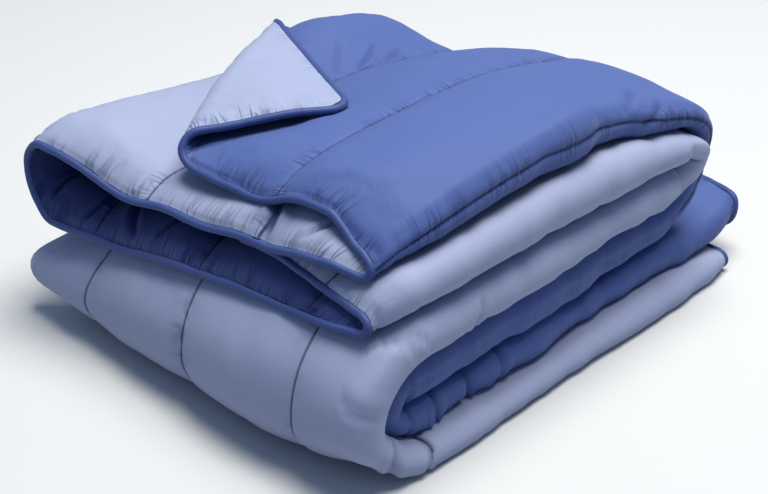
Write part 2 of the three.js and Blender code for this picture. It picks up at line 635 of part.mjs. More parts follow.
const comforter = new THREE.Group();
const body = new THREE.Mesh(quiltedBody(), quiltCloth);
body.name = 'quilted_body';
comforter.add(body);
const piping = new THREE.Mesh(edgePiping(), pipingCloth);
piping.name = 'edge_piping';
comforter.add(piping);

export default comforter;
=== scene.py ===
import math

import bmesh
import bpy
import numpy as np
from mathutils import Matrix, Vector


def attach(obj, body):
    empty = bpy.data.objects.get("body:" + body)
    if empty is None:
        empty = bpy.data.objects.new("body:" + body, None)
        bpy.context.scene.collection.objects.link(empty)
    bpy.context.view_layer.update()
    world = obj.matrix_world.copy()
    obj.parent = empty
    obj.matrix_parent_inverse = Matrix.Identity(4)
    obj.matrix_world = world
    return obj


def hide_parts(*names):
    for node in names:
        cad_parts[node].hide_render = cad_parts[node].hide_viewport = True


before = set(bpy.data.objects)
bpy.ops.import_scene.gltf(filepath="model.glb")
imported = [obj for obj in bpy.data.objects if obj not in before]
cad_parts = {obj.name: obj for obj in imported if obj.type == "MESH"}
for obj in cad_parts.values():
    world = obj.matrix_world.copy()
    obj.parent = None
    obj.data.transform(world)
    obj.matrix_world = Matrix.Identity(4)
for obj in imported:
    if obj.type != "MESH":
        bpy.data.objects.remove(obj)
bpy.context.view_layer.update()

# The view: the folded comforter is seen from its front right corner, from a little above.
# The lens is a short telephoto one, so the layers stay nearly parallel.
VIEW_AZIMUTH = math.radians(42.3)
VIEW_ELEVATION = math.radians(29.4)
VIEW_TARGET = Vector((0.1001, -0.1359, 0.1534))
VIEW_DISTANCE = 2.1396
LENS_MM = 77.67
SENSOR_MM = 36
VIEW_REACH = 50

towards_viewer = Vector((
    math.sin(VIEW_AZIMUTH) * math.cos(VIEW_ELEVATION),
    -math.cos(VIEW_AZIMUTH) * math.cos(VIEW_ELEVATION),
    math.sin(VIEW_ELEVATION),
))
camera_data = bpy.data.cameras.new("product_camera")
camera_data.lens = LENS_MM
camera_data.sensor_width = SENSOR_MM
camera_data.clip_end = VIEW_REACH
camera = bpy.data.objects.new("product_camera", camera_data)
camera.location = VIEW_TARGET + VIEW_DISTANCE * towards_viewer
camera.rotation_euler = towards_viewer.to_track_quat("Z", "Y").to_euler()
bpy.context.scene.collection.objects.link(camera)
bpy.context.scene.camera = camera


# The quilt: two faces of brushed microfibre, medium blue and pale lavender, sewn through in
# straight channels over a polyester filling. It is folded across its width into a strip of
# three or four layers, and the strip is folded in three along its length.
#
# A point of the cloth is found from two numbers: u, the distance across the sheet in
# metres, and w, its place along the strip, 0 to 5, with one unit for each leg or turn.
CHANNEL = 0.2
CHANNELS = 11
WIDTH = CHANNEL * CHANNELS
CORD_RADIUS = 0.0052
CORNER_RADIUS = 0.030
REST_PLANE = 0.0045
STACK_CENTRE = np.array([-0.0373, 0.0519, REST_PLANE])

FREE_EDGE_X = -0.337
BLUE_TURN_X = 0.238
POCKET_TURN_X = -0.3187
LIGHT_TURN_X = 0.258
BLUE_TURN_BULGE = 0.016
POCKET_TURN_BULGE = 0.034
LIGHT_TURN_BULGE = 0.0145
POCKET_TURN_LENGTH = 0.128
LIGHT_TURN_LENGTH = 0.0466
BLUE_SEAM = 3 * CHANNEL
BLUE_TURN_START = BLUE_TURN_X - FREE_EDGE_X
BLUE_TURN_END = 2 * BLUE_SEAM - BLUE_TURN_START
POCKET_TURN_START = BLUE_TURN_END + BLUE_TURN_X - POCKET_TURN_X
POCKET_TURN_END = POCKET_TURN_START + POCKET_TURN_LENGTH
LIGHT_TURN_START = POCKET_TURN_END + LIGHT_TURN_X - POCKET_TURN_X
LIGHT_TURN_END = LIGHT_TURN_START + LIGHT_TURN_LENGTH

# The strip's layers from the lowest up: the pocket's lip, the inner layer, the under
# layer and the top. Slack is the height in layers at the left, where the inner one ends.
LEVELS = np.array([0.5, 1.5, 2.5, 3.5])
SLACK = np.array([0.5, 1.1, 1.75, 2.8])
DROOP_DEPTH = np.array([0.014, 0.020, 0.026, 0.024])
POCKET_SHARE = np.array([0, 0.4, 1, 0.95])
FULL_LEVEL = 4
FULL_SLACK = 3.3
TOP_FROM = 3.45
SETTLING_X = (-0.220, 0.120)
DROOPING_X = (-0.150, 0)

# Dips of a layer's front edge, and how it sags towards the heavy right corner
DIPS = [
    {"level": 3.5, "x": 0.035, "reach": 0.045, "depth": 0.014},
    {"level": 2.5, "x": -0.165, "reach": 0.055, "depth": 0.014},
    {"level": 2.5, "x": 0.085, "reach": 0.050, "depth": 0.010},
    {"level": 0.5, "x": -0.160, "reach": 0.070, "depth": 0.010},
    {"level": 0.5, "x": 0.100, "reach": 0.080, "depth": 0.006},
]
CORNER_SAGS = [
    {"level": 3.5, "low": 0.160, "high": 0.220, "depth": 0.017},
    {"level": 3.5, "low": 0.190, "high": 0.260, "depth": 0.012},
    {"level": 2.5, "low": 0.190, "high": 0.260, "depth": 0.012},
    {"level": 1.5, "low": 0.150, "high": 0.220, "depth": 0.008},
    {"level": 0.5, "low": 0.190, "high": 0.250, "depth": -0.003},
]

# The top of the stack: the pocket held open at the left, the lip of its mouth, a low dome,
# the fall to the back, and the crest of the free channel behind the turned-back corner
POCKET = {"lift": 0.042, "x": (-0.300, -0.040), "y": (-0.300, 0.160)}
MOUTH = {"lift": 0.015, "x": (-0.320, -0.200), "y": -0.345, "reach": 0.036}
DOME = {"rise": 0.008, "reach": 0.200, "x": (-0.050, 0.200)}
FALL = {"drop": 0.038, "y": (0.060, 0.340), "right_more": 0.5, "x": (0.060, 0.260)}
CREST = {"rise": 0.034, "x": -0.248, "reach": 0.068, "up_y": (0.020, 0.140), "down_y": (0.220, 0.340)}

# Sideways moves: the top strip's right corner is drawn in at the front and spreads at the
# back, and the pocket's mouth leans out at its top and in at its lip
CORNER_IN = {"move": 0.026, "reach": 0.050, "x": (0.050, 0.240)}
BACK_OUT = {"move": 0.022, "y": (0.160, 0.340), "x": (0, 0.240), "fade_w": (1.2, 2)}
MOUTH_OUT = {"move": 0.009, "reach": 0.080, "x": (-0.330, -0.270)}
LIP_IN = {"move": 0.020, "reach": 0.080, "x": (-0.330, -0.200), "level": (0.5, 2.2)}

# The spine's left end is pressed to a blunt point, its right end is rolled under, and the
# light roll at the lower right leans out. At the back the bottom leg's upper layers tip up,
# and out at their right corner.
LEFT_POINT = {"x": (-0.330, -0.150), "level": 2.6, "in": 0.046, "out": 0.060, "sharpness": 6}
LEFT_POINT_W = {"in": (2.7, 3), "out": (4, 4.3)}
ROLLED_UNDER = {"x": (0.175, 0.260), "w": 3.72, "reach": 0.2, "back": 0.012, "up": 0.010}
LIGHT_ROLL_OUT = {"move": 0.016, "x": (0.100, 0.260), "w": (3.6, 4.3), "level": 2}
TIP_UP = {"move": 0.022, "y": (0.330, 0.470), "level": (2.4, 3.5)}
TIP_OUT = {"move": 0.012, "y": (0.250, 0.420), "x": (0.100, 0.250), "level": 2}

# Where the sheet's two ends lie, row by row across the sheet
END_PLACE = np.array([
    BLUE_SEAM - 0.110, BLUE_SEAM + 0.110, POCKET_TURN_START - 0.240, POCKET_TURN_START,
    POCKET_TURN_END, POCKET_TURN_END + 0.180, LIGHT_TURN_START - 0.050, LIGHT_TURN_END + 0.070, WIDTH,
])
END_FRONT = np.array([-0.270, -0.303, -0.303, -0.322, -0.330, -0.319, -0.319, -0.302, -0.284])
END_BACK = np.array([0.470, 0.425, 0.425, 0.412, 0.404, 0.399, 0.396, 0.398, 0.398])

# How far behind the front edge its droop has faded, more at the right
DROOP = {"reach": 0.045, "right_more": 0.7, "x": (0.140, 0.230)}

# The strip folded in three: the room that a layer takes in each leg, and the two turns.
# Halfway is the w that parts the front end's leg from the back end's, and last the w of the
# sheet's back end.
HALFWAY = 2.5
LAST = 5
SPINE_Y = -0.256
SPINE_SHOULDER = 1.02
STEEPEST = 0.02
BACK_TURN_Y = 0.266
BACK_TURN_REACH = 0.024
BOTTOM_SPACING = 0.0212
SPINE_SPACING = 0.0288
MIDDLE_SPACING = 0.0335
BACK_SPACING = 0.0174
TOP_SPACING = 0.034

# The corner of the top layer, turned back over itself along a slanting line
FLAP_START = np.array([-0.108, -0.270])
FLAP_END = np.array([-0.337, 0.132])
FLAP_RADIUS = 0.0205
FLAP_LIFT_FRONT = 0.0145
FLAP_LIFT_BACK = 0.0205
FLAP_RISE = -0.035
FLAP_SLIDE = np.array([0.12, -0.07])
FLAP_LENGTH = np.linalg.norm(FLAP_END - FLAP_START)
FLAP_LINE = (FLAP_END - FLAP_START) / FLAP_LENGTH
FLAP_ACROSS = np.array([-FLAP_LINE[1], FLAP_LINE[0]])


def blend(first, second, share):
    return first + (second - first) * share


def ease(low, high, value):
    share = np.clip((value - low) / (high - low), 0, 1)
    return share * share * (3 - 2 * share)


def ease_down(low, high, value):
    return 1 - ease(low, high, value)


def hump(centre, reach, value):
    return np.exp(-(((value - centre) / reach) ** 2))


def strip_section(u):
    """Where a point of the sheet's width lies in the strip: x, and its level in layers."""
    blue = np.pi * (u - BLUE_TURN_START) / (BLUE_TURN_END - BLUE_TURN_START)
    pocket = np.pi * (u - POCKET_TURN_START) / POCKET_TURN_LENGTH
    light = np.pi * (u - LIGHT_TURN_START) / LIGHT_TURN_LENGTH
    x = LIGHT_TURN_X - (u - LIGHT_TURN_END)
    level = np.full_like(x, 1.5)
    parts = [
        (LIGHT_TURN_END, LIGHT_TURN_X + LIGHT_TURN_BULGE * np.sin(light), 1 - 0.5 * np.cos(light)),
        (LIGHT_TURN_START, POCKET_TURN_X + u - POCKET_TURN_END, 0.5),
        (POCKET_TURN_END, POCKET_TURN_X - POCKET_TURN_BULGE * np.sin(pocket), 1.5 + np.cos(pocket)),
        (POCKET_TURN_START, BLUE_TURN_X - (u - BLUE_TURN_END), 2.5),
        (BLUE_TURN_END, BLUE_TURN_X + BLUE_TURN_BULGE * np.sin(blue), 3 + 0.5 * np.cos(blue)),
        (BLUE_TURN_START, FREE_EDGE_X + u, 3.5),
    ]
    for until, part_x, part_level in parts:
        x = np.where(u <= until, part_x, x)
        level = np.where(u <= until, part_level, level)
    return x, level


def settled(level, x):
    """Height in layers, once the missing inner layer lets the left side sink."""
    places = np.concatenate([[0], LEVELS, [FULL_LEVEL]])
    slack = np.interp(level, places, np.concatenate([[0], SLACK, [FULL_SLACK]]))
    return blend(slack, level, ease(*SETTLING_X, x))


def end_place(ends, u):
    """Where the front or back end of the sheet lies, eased from row to row."""
    place = np.full_like(u, ends[0])
    for i in range(1, len(ends)):
        place = place + (ends[i] - ends[i - 1]) * ease(END_PLACE[i - 1], END_PLACE[i], u)
    return place


def top_lift(level, x, y):
    """The pocket held open at the left, the low dome of the top and its fall to the back."""
    held = ease_down(*POCKET["x"], x) * ease_down(*POCKET["y"], y)
    mouth = ease_down(*MOUTH["x"], x) * hump(MOUTH["y"], MOUTH["reach"], y)
    pocket = (POCKET["lift"] * held + MOUTH["lift"] * mouth) * np.interp(level, LEVELS, POCKET_SHARE)
    dome = DOME["rise"] * hump(0, DOME["reach"], y) * ease(*DOME["x"], x)
    fall = FALL["drop"] * ease(*FALL["y"], y) * (1 + FALL["right_more"] * ease(*FALL["x"], x))
    return pocket + (dome - fall) * level / FULL_LEVEL


def edge_sag(level, x):
    """How far the front edge of a layer sags at a place along it."""
    sag = np.interp(level, LEVELS, DROOP_DEPTH) * ease(*DROOPING_X, x)
    for dip in DIPS:
        share = np.clip(1 - np.abs(level - dip["level"]), 0, 1)
        sag = sag + share * dip["depth"] * hump(dip["x"], dip["reach"], x)
    for corner in CORNER_SAGS:
        share = np.clip(1 - np.abs(level - corner["level"]), 0, 1)
        sag = sag + share * corner["depth"] * ease(corner["low"], corner["high"], x)
    return sag


def back_out(x, y):
    return BACK_OUT["move"] * ease(*BACK_OUT["y"], y) * ease(*BACK_OUT["x"], x)


def folded_place(u, w):
    """The middle surface of the sheet, folded but for the turned-back corner."""
    x, level = strip_section(u)
    height = settled(level, x)
    full = settled(np.full_like(level, FULL_LEVEL), x)
    bottom_top = BOTTOM_SPACING * full
    middle_top = bottom_top + MIDDLE_SPACING * full
    front = end_place(END_FRONT, u)

    y_top = blend(front, BACK_TURN_Y, np.clip(w, 0, 1))
    behind = y_top - front
    over = np.clip(SPINE_Y - y_top, 0, None) / (SPINE_SHOULDER * SPINE_SPACING * full)
    shoulder = np.sqrt(np.clip(1 - over * over, STEEPEST, 1))
    edge = np.exp(-behind / (DROOP["reach"] * (1 + DROOP["right_more"] * ease(*DROOP["x"], x))))
    z_top = bottom_top + MIDDLE_SPACING * full * shoulder + TOP_SPACING * height
    z_top = z_top + top_lift(level, x, y_top) - edge_sag(level, x) * edge
    corner_in = CORNER_IN["move"] * np.exp(-behind / CORNER_IN["reach"]) * ease(*CORNER_IN["x"], x)
    mouth_out = MOUTH_OUT["move"] * np.exp(-behind / MOUTH_OUT["reach"]) * ease_down(*MOUTH_OUT["x"], x)
    lip_in = LIP_IN["move"] * np.exp(-behind / LIP_IN["reach"]) * ease_down(*LIP_IN["x"], x)
    lip_in = lip_in * (1 - ease(*LIP_IN["level"], level))
    aside_top = lip_in - corner_in - mouth_out + back_out(x, y_top)

    turn = np.pi * np.clip(w - 1, 0, 1)
    y_back = BACK_TURN_Y + (BACK_TURN_REACH + BACK_SPACING * height) * np.sin(turn)
    above = TOP_SPACING * height + top_lift(level, x, y_back)
    z_back = middle_top + np.where(turn < np.pi / 2, above, MIDDLE_SPACING * height) * np.cos(turn)
    aside_back = back_out(x, y_back) * ease_down(*BACK_OUT["fade_w"], w)

    left = ease_down(*LEFT_POINT["x"], x)
    left_end = np.where(level < LEFT_POINT["level"], left, 0)
    y_middle = blend(BACK_TURN_Y, SPINE_Y, w - 2)
    z_middle = middle_top - MIDDLE_SPACING * height
    aside_middle = LEFT_POINT["in"] * left_end * ease(*LEFT_POINT_W["in"], w)

    turn = np.pi * np.clip(w - 3, 0, 1)
    inward = full - height
    rolled = ease(*ROLLED_UNDER["x"], x) * hump(ROLLED_UNDER["w"], ROLLED_UNDER["reach"], w)
    rolled = rolled * inward / LEVELS[-1]
    bulge = blend(np.sin(turn), np.sin(turn) ** 2, left)
    y_spine = SPINE_Y - SPINE_SPACING * inward * bulge + ROLLED_UNDER["back"] * rolled
    leg = np.where(turn < np.pi / 2, MIDDLE_SPACING, BOTTOM_SPACING)
    z_spine = bottom_top + leg * inward * np.cos(turn) + ROLLED_UNDER["up"] * rolled
    pressed_out = LEFT_POINT["out"] * np.sin(turn) ** LEFT_POINT["sharpness"]
    aside_spine = left_end * (LEFT_POINT["in"] - pressed_out)

    y_bottom = blend(SPINE_Y, end_place(END_BACK, u), np.clip(w - 4, 0, 1))
    tip_up = TIP_UP["move"] * ease(*TIP_UP["y"], y_bottom) * ease(*TIP_UP["level"], level)
    z_bottom = BOTTOM_SPACING * height + tip_up
    tip_out = TIP_OUT["move"] * ease(*TIP_OUT["y"], y_bottom) * ease(*TIP_OUT["x"], x)
    aside_bottom = LEFT_POINT["in"] * left_end * ease_down(*LEFT_POINT_W["out"], w)
    aside_bottom = aside_bottom + np.where(level > TIP_OUT["level"], tip_out, 0)

    legs = [w <= 1, w <= 2, w <= 3, w <= 4]
    y = np.select(legs, [y_top, y_back, y_middle, y_spine], y_bottom)
    z = np.select(legs, [z_top, z_back, z_middle, z_spine], z_bottom)
    aside = np.select(legs, [aside_top, aside_back, aside_middle, aside_spine], aside_bottom)
    roll_out = LIGHT_ROLL_OUT["move"] * ease(*LIGHT_ROLL_OUT["x"], x) * ease(*LIGHT_ROLL_OUT["w"], w)
    aside = aside + np.where(level < LIGHT_ROLL_OUT["level"], roll_out, 0)
    crest = CREST["rise"] * hump(CREST["x"], CREST["reach"], x)
    crest = crest * ease(*CREST["up_y"], y) * ease_down(*CREST["down_y"], y)
    z = z + np.where((level > TOP_FROM) & (w < 2), crest, 0)
    return np.stack([x + aside, y, z], -1), level


def past_flap_line(place, level, w):
    """How far a point of the top layer has gone past the start of the turned-back roll."""
    past = (place[..., :2] - FLAP_START) @ FLAP_ACROSS + FLAP_RADIUS
    return np.where((level > TOP_FROM) & (w < 1), np.clip(past, 0, None), 0)


def sheet_place(u, w):
    """The middle surface with its corner rolled over the slanting line."""
    flat, level = folded_place(u, w)
    past = past_flap_line(flat, level, w)
    angle = np.minimum(past / FLAP_RADIUS, np.pi)
    beyond = np.clip(past - np.pi * FLAP_RADIUS, 0, None)
    across = FLAP_RADIUS * (np.sin(angle) - 1) - beyond
    along = (flat[..., :2] - FLAP_START) @ FLAP_LINE
    rolled = FLAP_START + along[..., None] * FLAP_LINE + across[..., None] * FLAP_ACROSS
    rolled = rolled + beyond[..., None] * FLAP_SLIDE
    lift = blend(FLAP_LIFT_FRONT, FLAP_LIFT_BACK, ease(0, FLAP_LENGTH, along))
    z = flat[..., 2] + lift * (1 - np.cos(angle)) + FLAP_RISE * beyond
    rolled = np.concatenate([rolled, z[..., None]], -1)
    return np.where(past[..., None] > 0, rolled, flat)


def end_leg(u, w):
    """Length of the first or last leg of the strip."""
    first = BACK_TURN_Y - end_place(END_FRONT, u)
    last = end_place(END_BACK, u) - SPINE_Y
    return np.where(w < HALFWAY, first, last)


def from_end(u, w):
    return np.select([w <= 1, w >= 4], [w * end_leg(u, w), (LAST - w) * end_leg(u, w)], WIDTH)


def rounded_place(u, w):
    """Draws the sheet's corners in to a round, ring by ring."""
    a = CORNER_RADIUS - np.minimum(u, WIDTH - u)
    b = CORNER_RADIUS - from_end(u, w)
    inside = (a <= 0) | (b <= 0)
    shrink = np.where(inside, 1, np.maximum(a, b) / np.maximum(np.hypot(a, b), 1e-9))
    new_side = CORNER_RADIUS - a * shrink
    share = (CORNER_RADIUS - b * shrink) / end_leg(u, w)
    new_u = np.where(u < WIDTH / 2, new_side, WIDTH - new_side)
    new_w = np.where(w < HALFWAY, share, LAST - share)
    return np.where(inside, u, new_u), np.where(inside, w, new_w)


def blue_normal(u, w):
    """The direction that the blue side faces."""
    step_u, step_w = 0.0005, 0.002
    across = sheet_place(np.minimum(u + step_u, WIDTH), w) - sheet_place(np.maximum(u - step_u, 0), w)
    along = sheet_place(u, np.minimum(w + step_w, LAST)) - sheet_place(u, np.maximum(w - step_w, 0))
    normal = np.cross(across, along)
    return normal / np.linalg.norm(normal, axis=-1, keepdims=True)


# The filling: a loose polyester batt, held between the two faces by the channel seams. It
# fills a channel where nothing presses on it, and is squeezed thin at the seams, at the
# rim, inside each turn, and where another layer's edge rests on it.
EDGE_HALF = 0.0032
SEAM_HALF = 0.0026
FREE_SEAM_HALF = 0.007
CROWDED_SHARE = 0.45
CROWN_POWER = 0.55
RIM_INSET = CORD_RADIUS * 0.8
RIM_TAPER = 0.045
FREE_TOP = {"half": 0.019, "back_less": 0.3, "back_w": (0.6, 1.1), "until_w": 1.6}
UNDER_FLAP = {"less": 0.38, "x": -0.050, "reach_x": 0.080, "y": -0.120, "reach_y": 0.110}
UNDER_RIM = {"less": 0.55, "level": 2.5, "near": 0.1, "x": (-0.130, -0.060), "y": -0.262, "reach": 0.030}
FREE_SPINE = {"half": 0.015, "level": 0.6, "from_w": 2.9, "to_w": 4.1, "loose_from_w": 3, "loose_to_w": 4.2}
FREE_SPINE_RIGHT = {"less": 0.6, "w": (3.4, 4), "u": (1.75, 1.85)}
FREE_SPINE_LEFT = {"less": 0.5, "reach": 0.100}
FREE_SPINE_UNDER_LIP = {"less": 0.4, "w": 3.2, "reach": 0.13}
FLAP_HALF = 0.010
TIGHT_TURN_HALF = 0.005
TIGHT_SPINE_FROM = 2.6
TIGHT_BACK_UNTIL = 1.2
PINCHED_LEFT = {"less": 0.4, "on_w": (2.8, 3), "off_w": (4, 4.3)}
LOWER_ROLL = {"reach": 0.060, "w": (1.8, 2.1), "seam": 0.008, "fuller": 0.3}
SUNK = {"depth": 0.010, "u": BLUE_SEAM + 0.045, "reach": 0.035}
SUNK_TOP = {"on_w": (0.05, 0.2), "off_w": (0.9, 1.1)}
SUNK_BOTTOM = {"on_w": (3.95, 4.1), "off_w": (4.85, 5)}
ROOM_PLACES = [0, 0.75, 1.1, 1.8, 2.1, 2.9, 3.3, 3.7, 4.15, 5]
ROOM = np.repeat([TOP_SPACING, BACK_SPACING, MIDDLE_SPACING, SPINE_SPACING, BOTTOM_SPACING], 2)
POCKET_TURN = (POCKET_TURN_START + POCKET_TURN_END) / 2
LIGHT_TURN = (LIGHT_TURN_START + LIGHT_TURN_END) / 2
TURNS = [(BLUE_SEAM, False), (POCKET_TURN, True), (LIGHT_TURN, True)]
TURN = {"less": 0.55, "reach": 0.060, "inset": 0.007, "inset_reach": 0.052}


def free_top_half(x, y, w):
    """The blue top, where only the turned-back corner presses on the filling."""
    back = FREE_TOP["back_less"] * ease(*FREE_TOP["back_w"], w)
    pressed = UNDER_FLAP["less"] * hump(UNDER_FLAP["x"], UNDER_FLAP["reach_x"], x)
    pressed = pressed * hump(UNDER_FLAP["y"], UNDER_FLAP["reach_y"], y)
    return FREE_TOP["half"] * (1 - back) * (1 - pressed * (w < 1))


def free_spine_half(u, w):
    """The light spine, less full towards both its ends and under the pocket's lip."""
    right = FREE_SPINE_RIGHT["less"] * ease(*FREE_SPINE_RIGHT["w"], w) * ease(*FREE_SPINE_RIGHT["u"], u)
    left = FREE_SPINE_LEFT["less"] * hump(POCKET_TURN, FREE_SPINE_LEFT["reach"], u)
    lip = FREE_SPINE_UNDER_LIP["less"] * hump(FREE_SPINE_UNDER_LIP["w"], FREE_SPINE_UNDER_LIP["reach"], w)
    return FREE_SPINE["half"] * (1 - right) * (1 - left) * (1 - lip)


def sunk_filling(u, w):
    """The blue turn's filling has sunk below its seam, in the top and bottom legs."""
    top = ease(*SUNK_TOP["on_w"], w) * ease_down(*SUNK_TOP["off_w"], w)
    bottom = ease(*SUNK_BOTTOM["on_w"], w) * ease_down(*SUNK_BOTTOM["off_w"], w)
    return SUNK["depth"] * (top + bottom) * hump(SUNK["u"], SUNK["reach"], u)


def half_thickness(u, w, side):
    """From the sheet's middle surface to one face, before the cloth's own puckers."""
    place, level = folded_place(u, w)
    x, y = place[..., 0], place[..., 1]
    blue = side > 0
    spine = ~blue & (level < FREE_SPINE["level"])
    full = CROWDED_SHARE * np.interp(w, ROOM_PLACES, ROOM)
    on_top = blue & (level > TOP_FROM) & (w < FREE_TOP["until_w"])
    full = np.where(on_top, free_top_half(x, y, w), full)
    on_spine = spine & (w > FREE_SPINE["from_w"]) & (w < FREE_SPINE["to_w"])
    full = np.where(on_spine, free_spine_half(u, w), full)
    tight_spine = blue & (level > TIGHT_SPINE_FROM) & (w > 3) & (w < 4)
    tight_back = ~blue & (level < TIGHT_BACK_UNTIL) & (w > 1) & (w < 2)
    full = np.where(tight_spine | tight_back, TIGHT_TURN_HALF, full)
    under_rim = UNDER_RIM["less"] * ease(*UNDER_RIM["x"], x) * hump(UNDER_RIM["y"], UNDER_RIM["reach"], y)
    at_rim = ~blue & (np.abs(level - UNDER_RIM["level"]) < UNDER_RIM["near"]) & (w < 1)
    full = np.where(at_rim, full * (1 - under_rim), full)
    pinched = PINCHED_LEFT["less"] * ease_down(*LEFT_POINT["x"], x)
    pinched = pinched * ease(*PINCHED_LEFT["on_w"], w) * ease_down(*PINCHED_LEFT["off_w"], w)
    full = full * (1 - pinched)
    past = past_flap_line(place, level, w)
    full = blend(full, np.minimum(full, FLAP_HALF), ease(0, FLAP_RADIUS, past))
    turn_inset = 0 * u
    for centre, blue_inside in TURNS:
        thinned = full * (1 - TURN["less"] * hump(centre, TURN["reach"], u))
        full = np.where(blue == blue_inside, thinned, full)
        turn_inset = turn_inset + TURN["inset"] * hump(centre, TURN["inset_reach"], u)
    crown = np.abs(np.sin(np.pi * u / CHANNEL)) ** CROWN_POWER
    loose = spine & (w > FREE_SPINE["loose_from_w"]) & (w < FREE_SPINE["loose_to_w"])
    lower_roll = blue * hump(BLUE_SEAM, LOWER_ROLL["reach"], u) * ease(*LOWER_ROLL["w"], w)
    seam_half = blend(SEAM_HALF, FREE_SEAM_HALF, loose) + LOWER_ROLL["seam"] * lower_roll
    full = full * (1 + LOWER_ROLL["fuller"] * lower_roll)
    from_rim = np.minimum(np.minimum(u, WIDTH - u), from_end(u, w) - turn_inset) - RIM_INSET
    edge = np.sqrt(np.clip(from_rim / RIM_TAPER, 0, 1))
    return blend(EDGE_HALF, blend(seam_half, full, crown) + blue * sunk_filling(u, w), edge)


LEG_LENGTHS = np.array([0.54, 0.12, 0.52, 0.12, 0.66])


def flat_length(w):
    """Distance along the unfolded sheet, for what follows the cloth."""
    return np.interp(w, range(6), np.concatenate([[0], np.cumsum(LEG_LENGTHS)]))


def soft_noise(across, along, seed):
    """Smooth unevenness from -1 to 1, with one hill or hollow to each unit of length."""
    table = np.random.default_rng(seed).uniform(-1, 1, (64, 64))
    i = np.floor(across).astype(int)
    j = np.floor(along).astype(int)
    a = across - i
    b = along - j
    a = a * a * (3 - 2 * a)
    b = b * b * (3 - 2 * b)
    low = blend(table[i % 64, j % 64], table[(i + 1) % 64, j % 64], a)
    high = blend(table[i % 64, (j + 1) % 64], table[(i + 1) % 64, (j + 1) % 64], a)
    return blend(low, high, b)


# Gathers along each kind of stitching: how deep, how closely spaced and how far they reach
GATHERS = {
    "seam": {"depth": 0.0036, "spacing": 0.010, "reach": 0.016, "seed": 31},
    "end": {"depth": 0.0047, "spacing": 0.011, "reach": 0.017, "seed": 41},
    "side": {"depth": 0.0040, "spacing": 0.010, "reach": 0.016, "seed": 51},
}
GATHER_BEND = {"share": 0.5, "away": 0.020, "along": 0.030}
GATHER_LENGTH = {"varies": 0.6, "along": 0.028}
GATHER_STRENGTH = {"least": 0.7, "varies": 0.5, "along": 0.110}
GATHER_WIDTH = 0.45
GATHER_FULLNESS = 0.6
STITCH_HALF = 0.003


def gathers(kind, along, away):
    """Short pinched creases square to a line of stitching, uneven in length and spacing."""
    gather = GATHERS[kind]
    seed = gather["seed"]
    bend = GATHER_BEND["share"] * soft_noise(away / GATHER_BEND["away"], along / GATHER_BEND["along"], seed)
    wave = soft_noise(np.zeros_like(along), along / gather["spacing"] + bend, seed + 1)
    longer = soft_noise(np.full_like(along, 5.0), along / GATHER_LENGTH["along"], seed + 2)
    length = gather["reach"] * (1 + GATHER_LENGTH["varies"] * longer)
    stronger = soft_noise(np.full_like(along, 9.0), along / GATHER_STRENGTH["along"], seed + 3)
    strength = GATHER_STRENGTH["least"] + GATHER_STRENGTH["varies"] * stronger
    puffed = np.clip(np.abs(wave) / GATHER_WIDTH, 0, 1) ** GATHER_FULLNESS - GATHER_FULLNESS
    faded = strength * puffed * np.exp(-away / length) * np.clip(away / STITCH_HALF, 0, 1)
    return gather["depth"] * faded


def puckers(u, w, side):
    """The stitching draws the cloth into gathers at the seams, the ends and the borders."""
    light = side < 0
    v = flat_length(w) + 11.3 * light
    channel = np.round(u / CHANNEL)
    from_seam = np.abs(u - channel * CHANNEL)
    inner = (channel > 0) & (channel < CHANNELS)
    seams = gathers("seam", v + 3.1 * channel, from_seam) * inner
    ends = gathers("end", u + 5.3 * light + 2.7 * (w > HALFWAY), from_end(u, w) - RIM_INSET)
    border = np.minimum(u, WIDTH - u) - RIM_INSET
    sides = gathers("side", v + 1.9 * (u > WIDTH / 2), border)
    return seams + ends + sides


# Unevenness of the filling: how deep, and how large one hill or hollow is each way
LUMPS = {"depth": 0.0034, "across": 0.085, "along": 0.120, "other_face": 17, "seed": 11}
RIPPLES = {"depth": 0.0018, "across": 0.050, "along": 0.024, "other_face": 23, "seed": 14}
FINE_RIPPLES = {"depth": 0.0005, "across": 0.016, "along": 0.010, "other_face": 29, "seed": 15}
BUNCHES = {"depth": 0.0026, "across": 0.060, "along": 0.028, "other_face": 0.5, "seed": 16}
SWELLS = {"depth": 0.0050, "across": 0.200, "along": 0.075, "other_face": 0.5, "seed": 17}
BUNCHED = {"reach": 0.045, "light_share": 0.6, "w": (0.3, 0.6), "flat_w": 3.5, "flat_reach": 0.55}
LUMP_CROWN_POWER = 0.7
END_FADE = 0.040


def unevenness(u, w, side):
    """The filling is never quite even: soft lumps, and long shallow ripples across them."""
    v = flat_length(w)
    crown = np.abs(np.sin(np.pi * u / CHANNEL)) ** LUMP_CROWN_POWER
    rim = np.clip(from_end(u, w) / END_FADE, 0, 1)
    relief = 0
    for form, across, along in (
        (LUMPS, u, v), (RIPPLES, u + 0.4 * v, v - 0.5 * u), (FINE_RIPPLES, u + 0.3 * v, v),
    ):
        face = form["other_face"] * side
        relief = relief + form["depth"] * soft_noise(
            across / form["across"] + face, along / form["along"], form["seed"])
    light_turned = BUNCHED["light_share"] * hump(LIGHT_TURN, BUNCHED["reach"], u)
    turned = np.where(side > 0, hump(BLUE_SEAM, BUNCHED["reach"], u), light_turned)
    turned = turned * ease(*BUNCHED["w"], w) * (1 - hump(BUNCHED["flat_w"], BUNCHED["flat_reach"], w))
    bunched = 0
    for form in (BUNCHES, SWELLS):
        face = form["other_face"] * side
        bunched = bunched + form["depth"] * soft_noise(
            u / form["across"], v / form["along"] + face, form["seed"])
    return relief * crown * rim + bunched * turned


